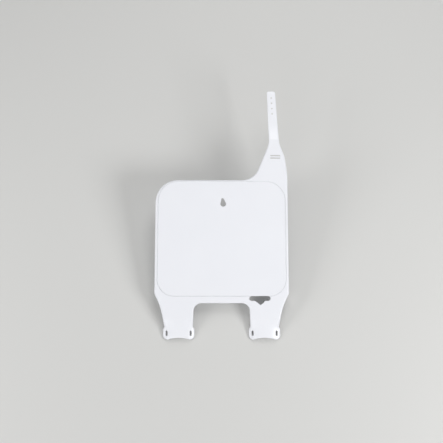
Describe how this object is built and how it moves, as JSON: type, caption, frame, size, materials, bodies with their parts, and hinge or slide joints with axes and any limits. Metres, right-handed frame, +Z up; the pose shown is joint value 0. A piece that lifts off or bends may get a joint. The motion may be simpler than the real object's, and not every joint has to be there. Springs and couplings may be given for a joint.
{
  "type": "racing number board",
  "caption": "Flat moulded front number board for an off-road motorcycle, with two legs tied to the fork tubes and a strap for the handlebar.",
  "frame": {"origin": "midway between the four fork-tie slots of the two feet, on the plane of the board's flat front", "axes": "+X to the right as the front is seen, +Y from the front to the back, +Z up towards the strap"},
  "size_m": [0.255, 0.0103, 0.4704],
  "materials": {
    "board": "white moulded plastic, semi-gloss"
  },
  "bodies": {
    "root": {"number_board": "board"}
  },
  "joints": []
}
